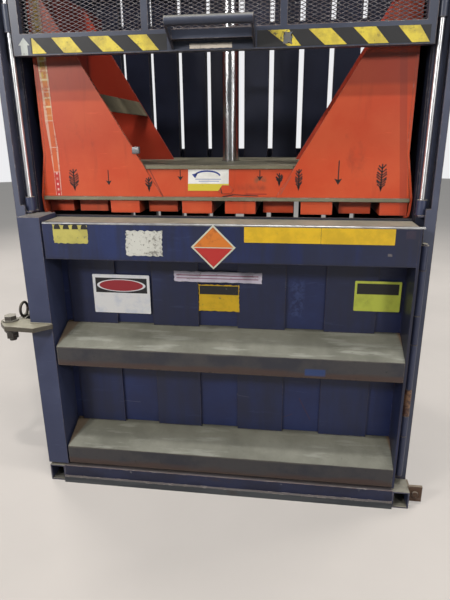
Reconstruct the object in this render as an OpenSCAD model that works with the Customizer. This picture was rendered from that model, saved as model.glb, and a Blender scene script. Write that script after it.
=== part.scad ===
// Vertical recycling baler of the 60 inch class, in millimetres.
// +Z is up, -Y is the front, and the origin lies on the floor under the ram's axis.

/* [Chamber] */
// Clear width between the side walls
chamber_w = 1524; // [1500:2:1540]
// Distance from the ram's axis to the front edges of the side walls
front_reach = 441; // [430:1:450]
// Distance from the ram's axis to the front of the rear slats
rear_reach = 385; // [380:1:400]
// Height of the chamber floor above the base plate
floor_t = 50; // [30:1:60]

/* [Frame] */
// Height of the frame up to the underside of the head
frame_h = 2760; // [2750:5:2900]
// Height of the base runners
base_h = 80; // [70:1:84]
// Thickness of a side wall
wall_t = 8; // [6:1:10]
// Thickness of a column's outer plate
col_plate_t = 12; // [8:1:14]

/* [Slats and bars] */
// Number of rear slats, and of platen bars, on each side of the middle
slats_per_side = 5; // [5:1:6]
// Gap between two neighbouring slats
slat_gap = 25.4; // [22:0.2:30]
// Depth of a slat
slat_depth = 50; // [40:1:60]
// Width of one platen bar
bar_w = 124; // [100:1:125]

/* [Platen] */
// How far the platen can travel up from where it stands
platen_up = 620; // [500:10:620]
// How far the platen can travel down from where it stands
platen_down = 560; // [300:10:560]
// Underside of the platen bars
platen_bottom = 1221; // [1218:1:1240]
// Sideways run of a wedge plate's inner edge for each unit of height
wedge_slope = 0.6; // [0.6:0.01:0.7]
// Thickness of the wedge plates
plate_t = 12; // [8:1:14]

/* [Ram] */
// Radius of the piston rod
rod_r = 38.1; // [32:0.1:40]
// Bore radius of the cylinder
bore_r = 76.2; // [70:0.1:80]
// Wall thickness of the cylinder barrel
barrel_wall = 16; // [12:1:18]

/* [Gate] */
// Underside of the raised gate's bottom rail
gate_bottom = 1815; // [1810:1:1830]
// Overall height of the gate
gate_h = 640; // [600:5:660]
// Height of the gate's rails
rail_h = 75; // [70:1:78]
// Radius of a guide rod
guide_r = 10; // [8:0.5:11]

/* [Door] */
// Height of the door's top lip above the floor
door_top = 1208; // [1200:1:1212]
// Depth of the door from its front face to its skin
door_depth = 145; // [130:1:150]
// Height of the front face of a sloped rib
rib_face_h = 86; // [80:1:90]
// Height of the front face of the top beam
beam_face_h = 150; // [140:1:155]
// Radius of the hinge pin
pin_r = 10; // [8:0.5:10]

/* [Latch] */
// Underside of the latch lug
latch_z = 758; // [740:1:800]
// Radius of the latch bolt
bolt_r = 15; // [12:0.5:16]

/* [Hidden] */
$fn = 48;

// Clearances
run_fit = 0.05;
seat_gap = 0.3;
door_gap = 2;
wall_gap = 5;

// Main planes
half_w = chamber_w / 2;
wall_front = -front_reach;
slat_y = rear_reach;
skin_t = 12;
skin_y = wall_front - door_gap - skin_t;
door_front = skin_y - door_depth;
outer_x = half_w + 69;
plate_top = base_h + 8;
floor_top = plate_top + floor_t;
rail_depth = 76;
rear_y = slat_y + slat_depth + rail_depth;

// Front columns
col_front = wall_front - 72;
col_sheet = 8;
col_web_t = 10;
col_front_in = outer_x - 42;
lip_in = outer_x - 24;
ledge_z = door_top + 52;

// Base
runner_w = 70;
runner_wall = 6;
runner_front = door_front - 6;
runner_l = [56 - outer_x, 56 - outer_x + runner_w];
runner_r = [outer_x + 1 - runner_w, outer_x + 1];
sill_split = 30;
sill_step = 12;
sill_back = runner_front + 56;
cross_span = [runner_l[1], runner_r[0]];

// Slats
slat_pitch = half_w / slats_per_side;
slat_w = slat_pitch - slat_gap;

// Platen
platen_front = wall_front + 23;
platen_rear = slat_y - 20;
flange_z = [platen_bottom + 52, platen_bottom + 66];
ledge_plate_z = [flange_z[1] + 111, flange_z[1] + 125];
ledge_half = 305;
shoe_t = 10;
shoe_flare = half_w - wall_gap - shoe_t;
shoe_in = shoe_flare - 27;
kink_z = flange_z[1] + 167;
flare_z = flange_z[1] + 4;
wedge_top = ledge_plate_z[1] + (shoe_in - ledge_half) / wedge_slope;
rear_wedge_y = 123;

// Ram
gland_z = [frame_h - 520, frame_h - 460];
stroke_spare = 10;
piston_h = 50;
piston_z = [gland_z[1] + platen_down + stroke_spare, gland_z[1] + platen_down + stroke_spare + piston_h];
barrel_top = piston_z[1] + platen_up + 2 * stroke_spare;
barrel_r = bore_r + barrel_wall;
port_end = barrel_r + 24;
foot_t = 24;

// Head and power unit
head_rail_h = 100;
head_beam_h = 160;
head_plate_t = 25;
beam_y = [110, 190];
deck_z = frame_h + head_rail_h + head_beam_h;
flange_seat = deck_z + head_plate_t;
tank_x = [outer_x - 561, outer_x - 41];
tank_h = 280;
shaft_z = deck_z + 130;
motor_x = [71 - outer_x, 391 - outer_x];
pump_x = [motor_x[1] + 40, motor_x[1] + 140];
valve_x = [tank_x[0] + 70, tank_x[0] + 230];
valve_h = 90;

// Gate
gate_t = 35;
gate_y = [skin_y - 45, skin_y - 45 + gate_t];
gate_top = gate_bottom + gate_h;
gate_half = half_w - 2;
stile_w = 32;
mullion_x = [235, 262];
gate_bays = [[stile_w - gate_half, -mullion_x[1]], [-mullion_x[0], mullion_x[0]],
             [mullion_x[1], gate_half - stile_w]];
guide_x = half_w + 18;
guide_y = skin_y - 23;
guide_top = frame_h - 180;
shelf_z = [door_top + 20, door_top + 26];
socket_h = 56;
sleeve_l = 96;
sleeve_z = [gate_bottom + 83, gate_top - 125];

// Door
door_low = plate_top + 4;
stile_x = [-half_w - 19, -half_w + 75];
beam_x = [stile_x[1] + 8, half_w - 6];
hinge_x = half_w + 26;
hinge_y = door_front + 37;
knuckle_r = pin_r + 4;
band_x = [[84, 284], [half_w - 316, half_w - 110]];
upper_rib_z = 589;
lower_rib_z = 98;
rib_rise = 70;
sheet = 8;
door_knuckle_z = [[332, 425], [548, 740], [862, 1040]];
frame_knuckle_z = [[140, 330], [427, 546], [742, 860], [1042, 1135]];

// Latch
latch_x = -outer_x - 54;
latch_y = door_front + 25;
lug_z = [latch_z, latch_z + 19];
hook_z = [latch_z - 25, latch_z - 2];
keeper_y = [wall_front - 14, wall_front + 6];

// Control box
box_x = [outer_x, outer_x + 150];
box_y = [200, slat_y + 55];
box_z = [1360, 1660];
button_x = (box_x[0] + box_x[1]) / 2;
button_z = [1560, 1460];
button_r = [14, 20];
stem_r = 11;
button_travel = 5;

function slat_x(i) = (i + 0.5) * slat_pitch + slat_gap / 2;
function gap_x(i) = i * slat_pitch + slat_gap / 2;
function wedge_x(z) = ledge_half + wedge_slope * (z - ledge_plate_z[1]);

// A block between two corners
module block(x, y, z) {
    translate([x[0], y[0], z[0]])
        cube([x[1] - x[0], y[1] - y[0], z[1] - z[0]]);
}

// A rectangular tube between two corners, open along the named axis
module box_tube(x, y, z, wall, along) {
    over = 1;
    ix = along == "x" ? [x[0] - over, x[1] + over] : [x[0] + wall, x[1] - wall];
    iy = along == "y" ? [y[0] - over, y[1] + over] : [y[0] + wall, y[1] - wall];
    iz = along == "z" ? [z[0] - over, z[1] + over] : [z[0] + wall, z[1] - wall];
    difference() {
        block(x, y, z);
        block(ix, iy, iz);
    }
}

// A profile drawn in Y and Z, run along X
module run_x(points, x) {
    translate([x[0], 0, 0])
        rotate([90, 0, 90])
            linear_extrude(x[1] - x[0])
                polygon(points);
}

// A profile drawn in X and Z, run along Y
module run_y(points, y) {
    translate([0, y[1], 0])
        rotate([90, 0, 0])
            linear_extrude(y[1] - y[0])
                polygon(points);
}

// A round bar along X
module bar_x(r, x, y, z) {
    translate([x[0], y, z])
        rotate([0, 90, 0])
            cylinder(r = r, h = x[1] - x[0]);
}

// A pipe through a list of points, with round elbows
module pipe(r, points) {
    for (i = [1 : len(points) - 1]) {
        from = points[i - 1];
        run = points[i] - from;
        translate(from)
            rotate([0, acos(run[2] / norm(run)), atan2(run[1], run[0])])
                cylinder(r = r, h = norm(run));
        if (i < len(points) - 1)
            translate(points[i])
                sphere(r = r);
    }
}

// The children on both sides of the middle
module both_sides() {
    children();
    mirror([1, 0, 0])
        children();
}

// A hexagon head or nut
module hexagon(across_flats, h) {
    cylinder(d = across_flats / cos(30), h = h, $fn = 6);
}

// Two square tubes from front to rear, open at their ends
module base_runners() {
    color("#39405f")
        for (x = [runner_l, runner_r])
            box_tube(x, [runner_front, rear_y], [0, base_h], runner_wall, "y");
}

module base_cross_members() {
    w = 80;
    color("#39405f")
        for (y = [-330, -w / 2, rear_y - w])
            box_tube(cross_span, [y, y + w], [0, base_h], runner_wall, "x");
}

// Front sill of an upper tube and a lower tube that stands forward
module front_sill() {
    color("#2b3352") {
        box_tube(cross_span, [runner_front, sill_back], [sill_split, base_h + 3], runner_wall, "x");
        box_tube(cross_span, [runner_front - sill_step, sill_back], [0, sill_split], runner_wall, "x");
    }
}

module base_plate() {
    color("#39405f")
        block([-outer_x, runner_r[1]], [col_front, rear_y], [base_h, plate_top]);
}

// Chamber floor with a strap groove under each slat gap
module chamber_floor() {
    groove_z = [floor_top - 20, floor_top + 1];
    side = half_w - 3;
    color("#4a4d4a")
        difference() {
            block([-side, side], [wall_front + 6, slat_y - 2], [plate_top, floor_top]);
            for (i = [1 : slats_per_side - 1], s = [-1, 1])
                translate([s * gap_x(i), 0, 0])
                    block([-slat_gap / 2, slat_gap / 2], [wall_front, slat_y], groove_z);
            block([-slat_gap, slat_gap], [wall_front, slat_y], groove_z);
        }
}

// Square plate with a round boss, welded to the right runner below the door's sweep
module runner_side_lug() {
    x = [runner_r[1], runner_r[1] + 58];
    y = [runner_front + 32, runner_front + 44];
    z = [16, door_low - door_gap];
    color("#3c3b3d") {
        block(x, y, z);
        translate([(x[0] + x[1]) / 2, y[0], (z[0] + z[1]) / 2])
            rotate([90, 0, 0])
                cylinder(r = 13, h = 7);
        block([x[0], x[0] + 8], [y[1], y[1] + 48], [z[0], base_h]);
    }
}

// One front column, a channel open towards the middle, drawn for the right-hand side
module column() {
    front = [col_front, col_front + col_sheet];
    web = [wall_front, wall_front + col_web_t];
    block([outer_x - col_plate_t, outer_x], [col_front, web[1]], [plate_top, frame_h]);
    block([half_w + wall_t, outer_x], web, [plate_top, frame_h]);
    block([lip_in, outer_x], front, [plate_top, frame_h]);
    block([col_front_in, outer_x], front, [plate_top, ledge_z]);
}

module column_left() {
    color("#4c5470")
        mirror([1, 0, 0])
            column();
}

module column_right() {
    color("#4c5470")
        column();
}

// One side wall, drawn for the right-hand side
module side_wall() {
    block([half_w, half_w + wall_t], [wall_front, slat_y + slat_depth], [plate_top, frame_h]);
}

module side_wall_left() {
    color("#3f4968")
        mirror([1, 0, 0])
            side_wall();
}

module side_wall_right() {
    color("#3f4968")
        side_wall();
}

module side_stiffeners() {
    color("#4c5470")
        both_sides()
            for (y = [-180, 200])
                box_tube([half_w + wall_t, outer_x], [y, y + 80], [plate_top, frame_h], 5, "z");
}

// Channels with their open side to the rear
module rear_slats() {
    wall = 6;
    color("#252c47")
        for (i = [0 : slats_per_side - 1], s = [-1, 1])
            translate([s * slat_x(i), slat_y, 0])
                difference() {
                    block([-slat_w / 2, slat_w / 2], [0, slat_depth], [plate_top, frame_h]);
                    block([wall - slat_w / 2, slat_w / 2 - wall], [wall, slat_depth + 1],
                          [plate_top - 1, frame_h + 1]);
                }
}

// Rails across the back of the slats
module rear_rails() {
    rails = 5;
    low = plate_top + 22;
    high = frame_h - 160;
    color("#39405f")
        for (k = [0 : rails - 1])
            translate([0, 0, low + k * (high - low) / (rails - 1)])
                box_tube([-outer_x, outer_x], [slat_y + slat_depth, rear_y], [0, 100], 6, "x");
}

module rear_posts() {
    color("#4c5470")
        both_sides()
            box_tube([half_w + wall_t, outer_x], [slat_y - 20, slat_y + slat_depth], [plate_top, frame_h], 6, "z");
}

module header_plate() {
    side = half_w + wall_t;
    color("#3f4968")
        block([-side, side], [wall_front - col_web_t, wall_front], [frame_h - 280, frame_h]);
}

// Side rails, two cross beams and the bored plate that carries the cylinder
module head_frame() {
    rail_top = frame_h + head_rail_h;
    color("#4c5470") {
        both_sides()
            box_tube([half_w - 8, outer_x], [col_front, rear_y], [frame_h, rail_top], sheet, "y");
        for (y = [[-beam_y[1], -beam_y[0]], beam_y])
            box_tube([-outer_x, outer_x], y, [rail_top, deck_z], 10, "x");
        difference() {
            block([-220, 220], [-beam_y[1], beam_y[1]], [deck_z, flange_seat]);
            translate([0, 0, deck_z - 1])
                cylinder(r = barrel_r + seat_gap, h = head_plate_t + 2);
        }
    }
}

module latch_keeper() {
    color("#4c5470")
        block([-outer_x - 16, -outer_x], keeper_y, [latch_z - 33, latch_z + 7]);
}

module guide_rods() {
    color("#c9ccd2")
        for (s = [-1, 1])
            translate([s * guide_x, guide_y, shelf_z[1]])
                cylinder(r = guide_r, h = guide_top - shelf_z[1]);
}

// Short round sockets on shelf plates inside the columns
module guide_rod_sockets() {
    color("#3f5578")
        both_sides() {
            translate([guide_x, guide_y, shelf_z[1]])
                difference() {
                    cylinder(r = guide_r + 9, h = socket_h);
                    translate([0, 0, -1])
                        cylinder(r = guide_r, h = socket_h + 2);
                }
            block([gate_half + 5, outer_x - col_plate_t], [col_front + col_sheet, wall_front], shelf_z);
        }
}

module guide_rod_holders() {
    z = [guide_top - 30, guide_top];
    color("#4c5470")
        both_sides()
            difference() {
                block([half_w, outer_x - col_plate_t], [col_front + col_sheet, wall_front - col_web_t], z);
                translate([guide_x, guide_y, z[0] - 1])
                    cylinder(r = guide_r, h = z[1] - z[0] + 2);
            }
}

// Barrel with a mounting flange, a cap and the upper port
module cylinder_barrel() {
    color("#2f3a5c")
        difference() {
            union() {
                translate([0, 0, gland_z[1]])
                    cylinder(r = barrel_r, h = barrel_top - gland_z[1]);
                translate([0, 0, flange_seat])
                    cylinder(r = barrel_r + 58, h = 25);
                translate([0, 0, barrel_top])
                    cylinder(r = barrel_r + 8, h = 30);
                bar_x(18, [barrel_r - 4, port_end], 0, barrel_top - 60);
            }
            translate([0, 0, gland_z[1] - 1])
                cylinder(r = bore_r, h = barrel_top - gland_z[1] + 1);
        }
}

module cylinder_gland() {
    color("#3c3f46")
        difference() {
            union() {
                translate([0, 0, gland_z[0]])
                    cylinder(r = barrel_r + 8, h = gland_z[1] - gland_z[0]);
                bar_x(18, [barrel_r, port_end], 0, (gland_z[0] + gland_z[1]) / 2);
            }
            translate([0, 0, gland_z[0] - 1])
                cylinder(r = rod_r + run_fit, h = gland_z[1] - gland_z[0] + 2);
        }
}

module cylinder_bolts() {
    color("#8d8f94")
        for (a = [22.5 : 45 : 359])
            rotate([0, 0, a])
                translate([barrel_r + 34, 0, flange_seat + 25])
                    hexagon(30, 14);
}

// Chromed rod with the piston turned on its upper end
module piston_rod() {
    foot = flange_z[1] + foot_t;
    color("#d3d6da") {
        translate([0, 0, foot])
            cylinder(r = rod_r, h = piston_z[0] - foot);
        translate([0, 0, piston_z[0]])
            cylinder(r = bore_r - run_fit, h = piston_h);
    }
}

module rod_foot_flange() {
    color("#6d2f22") {
        translate([0, 0, flange_z[1]])
            cylinder(r = rod_r + 62, h = foot_t);
        for (a = [30 : 60 : 359])
            rotate([0, 0, a])
                translate([rod_r + 40, 0, flange_z[1] + foot_t])
                    hexagon(24, 12);
    }
}

module oil_tank() {
    color("#39405f") {
        block(tank_x, [-beam_y[1], beam_y[1]], [deck_z, deck_z + tank_h]);
        translate([tank_x[1] - 100, 0, deck_z + tank_h])
            cylinder(r = 32, h = 45);
    }
}

// Finned electric motor lying on its foot plate
module pump_motor() {
    r = 105;
    x = motor_x;
    color("#555c66") {
        bar_x(r, x, 0, shaft_z);
        for (k = [0 : 11])
            bar_x(r + 6, [x[0] + 60 + k * 20, x[0] + 67 + k * 20], 0, shaft_z);
        block([x[0] + 20, x[1] - 30], [-125, 125], [deck_z, deck_z + 20]);
        block([x[0] + 80, x[1] - 80], [-60, 60], [deck_z + 20, shaft_z]);
        block([x[0] + 120, x[1] - 100], [-60, 60], [shaft_z + r - 10, shaft_z + r + 45]);
    }
}

module hydraulic_pump() {
    color("#3a3d42") {
        bar_x(70, [motor_x[1], pump_x[0]], 0, shaft_z);
        block(pump_x, [-50, 50], [shaft_z - 60, shaft_z + 60]);
    }
}

// Valve block with a pair of solenoids at each end
module valve_block() {
    z = deck_z + tank_h;
    color("#7b7f86") {
        block(valve_x, [-70, 70], [z, z + valve_h]);
        for (y = [-35, 35]) {
            bar_x(22, [valve_x[0] - 50, valve_x[0]], y, z + 50);
            bar_x(22, [valve_x[1], valve_x[1] + 50], y, z + 50);
        }
    }
}

// Pressure pipes to both ends of the cylinder, the pump's feed and its suction pipe
module oil_pipes() {
    r = 9;
    valve_z = deck_z + tank_h;
    gland_port = (gland_z[0] + gland_z[1]) / 2;
    cap_port = barrel_top - 60;
    rise_x = valve_x[0] - 40;
    drop_x = tank_x[0] - 25;
    feed_x = (pump_x[0] + pump_x[1]) / 2;
    valve_mid = (valve_x[0] + valve_x[1]) / 2;
    run_z = valve_z + 60;
    color("#6a6e74") {
        pipe(r, [[valve_x[0], 0, valve_z + 75], [rise_x, 0, valve_z + 75], [rise_x, 0, cap_port],
                 [port_end, 0, cap_port]]);
        pipe(r, [[valve_x[0], 0, valve_z + 20], [drop_x, 0, valve_z + 20], [drop_x, 0, gland_port],
                 [port_end, 0, gland_port]]);
        pipe(r, [[feed_x, 0, shaft_z + 60], [feed_x, 0, run_z], [feed_x, -130, run_z],
                 [valve_mid, -130, run_z], [valve_mid, -70, run_z]]);
        pipe(14, [[feed_x, -50, shaft_z - 20], [feed_x, -120, shaft_z - 20], [tank_x[0], -120, shaft_z - 20]]);
    }
}

// Control box on the right side, with its buttons facing the front
module control_box() {
    color("#8b9098")
        difference() {
            block(box_x, box_y, box_z);
            for (z = button_z)
                translate([button_x, box_y[0] + 12, z])
                    rotate([90, 0, 0])
                        cylinder(r = stem_r + run_fit, h = 14);
        }
}

// One push button, its head standing off the box by its travel
module button(k) {
    translate([button_x, box_y[0] - button_travel - 1, button_z[k]])
        rotate([90, 0, 0])
            cylinder(r = button_r[k], h = 9 + 3 * k);
    translate([button_x, box_y[0] + 6, button_z[k]])
        rotate([90, 0, 0])
            cylinder(r = stem_r, h = button_travel + 7);
}

module start_button() {
    color("#2f8a4a")
        button(0);
}

module stop_button() {
    color("#b3261e")
        button(1);
}

module platen_flange_plate() {
    side = shoe_flare - 1;
    color("#8b8f78")
        block([-side, side], [platen_front - 6, platen_rear], flange_z);
}

// Bars in line with the slats; some end short of the front, and the outermost pair is narrower
module platen_bars() {
    set_back = 43;
    last = slats_per_side - 1;
    outer_edge = shoe_flare - 5.5;
    color("#c05038")
        for (i = [0 : last], s = [-1, 1]) {
            outer = i == last;
            w = outer ? bar_w - 20 : bar_w;
            x = s * (outer ? outer_edge - w / 2 : slat_x(i));
            short = i % 2 == 1 || (outer && s < 0);
            y0 = short ? platen_front + set_back : platen_front;
            block([x - w / 2, x + w / 2], [y0, platen_rear], [platen_bottom, flange_z[0]]);
        }
}

// Low panel between the two wedge plates
module platen_front_panel() {
    low = wedge_x(flange_z[1]) + 2;
    high = wedge_x(ledge_plate_z[0]) + 2;
    color("#c05038")
        run_y([[-low, flange_z[1]], [low, flange_z[1]], [high, ledge_plate_z[0]], [-high, ledge_plate_z[0]]],
              [platen_front + 3, platen_front + plate_t]);
}

module platen_front_wedges() {
    z0 = flange_z[1];
    color("#c05038")
        both_sides()
            run_y([[wedge_x(z0) + 2, z0], [shoe_flare - 1, z0], [shoe_flare - 1, flare_z],
                   [shoe_in, kink_z], [shoe_in, wedge_top], [ledge_half + 2, ledge_plate_z[1]]],
                  [platen_front, platen_front + plate_t]);
}

module platen_rear_wedges() {
    z0 = ledge_plate_z[1];
    color("#9c4230")
        both_sides()
            run_y([[wedge_x(z0), z0], [shoe_in, z0], [shoe_in, wedge_top]],
                  [rear_wedge_y, rear_wedge_y + plate_t]);
}

// Ledge plate, with a hole for the rod and its front edge showing between the wedges
module platen_ledge_plate() {
    nose = wedge_x(ledge_plate_z[0]);
    color("#8b8f78")
        difference() {
            union() {
                block([-shoe_in, shoe_in], [platen_front + plate_t, platen_rear], ledge_plate_z);
                block([-nose, nose], [platen_front - 2, platen_front + plate_t], ledge_plate_z);
            }
            translate([0, 0, ledge_plate_z[0] - 1])
                cylinder(r = rod_r + 8, h = ledge_plate_z[1] - ledge_plate_z[0] + 2);
        }
}

// Bent side plates that flare out at the kink and turn in under the bars
module platen_side_shoes() {
    t = shoe_t;
    low = platen_bottom;
    flap = shoe_flare - 16;
    color("#a8482f")
        both_sides()
            run_y([[shoe_in, wedge_top], [shoe_in, kink_z], [shoe_flare, flare_z], [shoe_flare - 2, low + 16],
                   [shoe_flare - 4, low - 1], [flap, low - 1], [flap, low - 9], [shoe_flare - 2, low - 8],
                   [shoe_flare + t - 5, low], [shoe_flare + t - 2, low + 16], [shoe_flare + t, flare_z],
                   [shoe_in + t, kink_z], [shoe_in + t, wedge_top]],
                  [platen_front, platen_rear]);
}

// Flat bar along the slope, from the left front wedge back to the rear wedge
module platen_brace() {
    t = 8;
    z = [ledge_plate_z[1] + 207, ledge_plate_z[1] + 273];
    color("#8b8f78")
        run_y([[-wedge_x(z[0]), z[0]], [-wedge_x(z[1]), z[1]], [-wedge_x(z[1]) - t, z[1]],
               [-wedge_x(z[0]) - t, z[0]]],
              [platen_front + plate_t, rear_wedge_y]);
}

// Gate frame of rails, stiles and mullions
module gate_frame() {
    color("#4f5a72")
        difference() {
            block([-gate_half, gate_half], gate_y, [gate_bottom, gate_top]);
            for (x = gate_bays)
                block(x, [gate_y[0] - 1, gate_y[1] + 1], [gate_bottom + rail_h, gate_top - rail_h]);
        }
}

// Expanded sheet in three bays, with rows of diamond openings
module gate_mesh() {
    y = [gate_y[1] - 12, gate_y[1] - 9];
    z = [gate_bottom + rail_h, gate_top - rail_h];
    rows = 8;
    cols = 5;
    web = 9;
    color("#6d7480")
        for (x = gate_bays) {
            px = (x[1] - x[0]) / cols;
            pz = (z[1] - z[0]) / rows;
            difference() {
                block(x, y, z);
                for (i = [0 : cols - 1], j = [0 : rows - 1])
                    translate([x[0] + (i + 0.5) * px, 0, z[0] + (j + 0.5) * pz])
                        run_y([[web - px / 2, 0], [0, web - pz / 2], [px / 2 - web, 0], [0, pz / 2 - web]],
                              [y[0] - 1, y[1] + 1]);
            }
        }
}

// Two sleeves on each side, welded to the gate's stiles
module gate_sleeves() {
    r = guide_r + 7;
    color("#5a657c")
        both_sides()
            for (z = sleeve_z)
                difference() {
                    union() {
                        translate([guide_x, guide_y, z])
                            cylinder(r = r, h = sleeve_l);
                        block([gate_half, guide_x - guide_r - 2], [guide_y - 6, guide_y + 6],
                              [z + 8, z + sleeve_l - 8]);
                    }
                    translate([guide_x, guide_y, z - 1])
                        cylinder(r = guide_r + run_fit, h = sleeve_l + 2);
                }
}

// Grab bar on two end plates, with a shelf channel under it
module gate_handle() {
    r = 16;
    y = gate_y[0] - 100;
    z = gate_bottom + 80;
    half = 152;
    end_t = 8;
    face = gate_y[0];
    inner = half - end_t;
    color("#555e70") {
        bar_x(r, [-half, half], y, z);
        both_sides()
            run_x([[y - r, z], [y - 8, z + r - 2], [y + 12, z + r - 4], [face, gate_bottom + rail_h - 4],
                   [face, gate_bottom + 6], [y - 6, z - r]],
                  [inner, half]);
        difference() {
            block([-inner, inner], [face - 40, face], [z - 47, z - 15]);
            block([5 - inner, inner - 5], [face - 35, face - 5], [z - 48, z - 20]);
        }
    }
}

module door_skin() {
    color("#2f3a66")
        block([stile_x[0], beam_x[1]], [skin_y, skin_y + skin_t], [door_low, door_top + 6]);
}

// Raised vertical bands on the skin, in the two bays between the ribs
module door_bands() {
    proud = 10;
    slope = rib_rise / door_depth;
    color("#2f3a66")
        for (bay = [[upper_rib_z + rib_face_h, door_top - beam_face_h], [lower_rib_z + rib_face_h, upper_rib_z]],
             band = band_x) {
            foot = bay[0] + rib_rise;
            both_sides()
                run_x([[skin_y, foot], [skin_y - proud, foot - proud * slope], [skin_y - proud, bay[1]],
                       [skin_y, bay[1]]],
                      band);
        }
}

module door_top_beam() {
    color("#28315a")
        box_tube(beam_x, [door_front, skin_y], [door_top - beam_face_h, door_top - sheet], sheet, "x");
}

module door_wear_strip() {
    color("#8f9290")
        block(beam_x, [door_front + 22, skin_y], [door_top - sheet, door_top - 2]);
}

// Half-round lip along the front of the top beam, ending in a rounded corner
module door_top_lip() {
    r = sheet;
    z = door_top - sheet;
    end = hinge_x - 18;
    color("#c8cbd0")
        intersection() {
            union() {
                bar_x(r, [beam_x[0], end], door_front + r, z);
                translate([end, door_front + r, z])
                    sphere(r = r);
            }
            block([beam_x[0], hinge_x], [door_front, door_front + 2 * r], [z, door_top]);
        }
}

// A bent-plate rib with a front face and a top that slopes up to the skin
module sloped_rib(z0) {
    t = sheet;
    top = z0 + rib_face_h;
    y = [door_front, skin_y];
    run_x([[y[0], z0], [y[0], top], [y[1], top + rib_rise], [y[1], top + rib_rise - t - 1], [y[0] + t, top - 5],
           [y[0] + t, z0 + t], [y[1], z0 + t], [y[1], z0]],
          beam_x);
}

module door_upper_rib() {
    color("#7d7f70")
        sloped_rib(upper_rib_z);
}

module door_lower_rib() {
    color("#7d7f70")
        sloped_rib(lower_rib_z);
}

module door_latch_stile() {
    wall = 6;
    color("#5a6494")
        difference() {
            block(stile_x, [door_front, skin_y], [door_low - 2, door_top + 16]);
            block([stile_x[0] + wall, stile_x[1] - wall], [door_front + wall, skin_y - wall],
                  [door_low - 3, door_top + 10]);
        }
}

// End plate on the hinge side, with a strap to each door knuckle
module door_hinge_side() {
    x = [beam_x[1], beam_x[1] + 10];
    color("#3c466e")
        difference() {
            union() {
                block(x, [door_front, skin_y + skin_t], [door_low, door_top - sheet]);
                for (z = door_knuckle_z)
                    block([x[1], hinge_x - pin_r], [hinge_y - 6, hinge_y + 6], z);
            }
            for (z = door_knuckle_z)
                translate([hinge_x, hinge_y, z[0] - 1])
                    cylinder(r = knuckle_r, h = z[1] - z[0] + 2);
        }
}

module door_knuckles() {
    color("#59648c")
        for (z = door_knuckle_z)
            translate([hinge_x, hinge_y, z[0]])
                difference() {
                    cylinder(r = knuckle_r, h = z[1] - z[0]);
                    translate([0, 0, -1])
                        cylinder(r = pin_r + run_fit, h = z[1] - z[0] + 2);
                }
}

// Frame knuckles with their leaves on the column, and the pin fixed in them
module frame_knuckles() {
    low = frame_knuckle_z[0][0] - 6;
    high = frame_knuckle_z[3][1] + 6;
    color("#7a5a45") {
        for (z = frame_knuckle_z) {
            translate([hinge_x, hinge_y, z[0]])
                cylinder(r = knuckle_r, h = z[1] - z[0]);
            block([hinge_x + 4, hinge_x + knuckle_r], [hinge_y, col_front], z);
        }
        translate([hinge_x, hinge_y, low])
            cylinder(r = pin_r, h = high - low);
    }
}

// Tapered lug welded across the latch-side stile, with an eye for the bolt
module latch_lug() {
    root = stile_x[1] + 4;
    color("#7b7c66")
        difference() {
            translate([0, 0, lug_z[0]])
                union() {
                    linear_extrude(lug_z[1] - lug_z[0])
                        polygon([[root, door_front], [root, door_front - 4], [stile_x[0] + 41, door_front - 60],
                                 [latch_x + 14, door_front - 50], [latch_x - 30, door_front - 4],
                                 [latch_x - 10, latch_y + 36], [latch_x + 28, door_front + 52],
                                 [stile_x[0], door_front + 48], [stile_x[0], door_front]]);
                    translate([latch_x, latch_y, 0])
                        cylinder(r = bolt_r + 25, h = lug_z[1] - lug_z[0]);
                }
            translate([latch_x, latch_y, lug_z[0] - 1])
                cylinder(r = bolt_r, h = lug_z[1] - lug_z[0] + 2);
        }
}

// Bolt with its big washer, and the washer and nut under the hook
module latch_bolt() {
    washer = 5;
    nut_h = 26;
    tip = hook_z[0] - 45;
    under = hook_z[0] - 2;
    color("#6f6a62")
        translate([latch_x, latch_y, 0]) {
            translate([0, 0, tip])
                cylinder(r = bolt_r, h = lug_z[1] - tip);
            translate([0, 0, lug_z[1]])
                cylinder(r = bolt_r + 18, h = washer);
            translate([0, 0, lug_z[1] + washer])
                hexagon(46, 18);
            translate([0, 0, under - washer - nut_h])
                hexagon(46, nut_h);
            translate([0, 0, under - washer])
                cylinder(r = bolt_r + 13, h = washer);
        }
}

// Swinging hook bar with a round handle standing on it
module latch_hook() {
    bar = [latch_x - 18, latch_x + 18];
    tail = keeper_y[1] + 25;
    tip_reach = 17;
    loop_r = 31;
    color("#3b3a38") {
        difference() {
            union() {
                translate([latch_x, latch_y, hook_z[0]])
                    cylinder(r = bolt_r + 17, h = hook_z[1] - hook_z[0]);
                block(bar, [latch_y + bolt_r + 5, tail], hook_z);
                block([bar[1] - 1, bar[1] + tip_reach], [tail - 20, tail], hook_z);
            }
            translate([latch_x, latch_y, hook_z[0] - 1])
                cylinder(r = bolt_r + run_fit, h = hook_z[1] - hook_z[0] + 2);
        }
        translate([latch_x, latch_y + 115, hook_z[1] + loop_r + 2])
            rotate([0, 90, 0])
                rotate_extrude()
                    translate([loop_r, 0])
                        circle(r = 6);
    }
}

// Square placard hung by one corner from the door's lip
module diamond_placard() {
    side = 122;
    color("#d8752c")
        translate([5, door_front, door_top - 89])
            rotate([90, 0, 0])
                rotate([0, 0, 45])
                    translate([-side / 2, -side / 2, 0])
                        cube([side, side, 1.5]);
}

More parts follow.
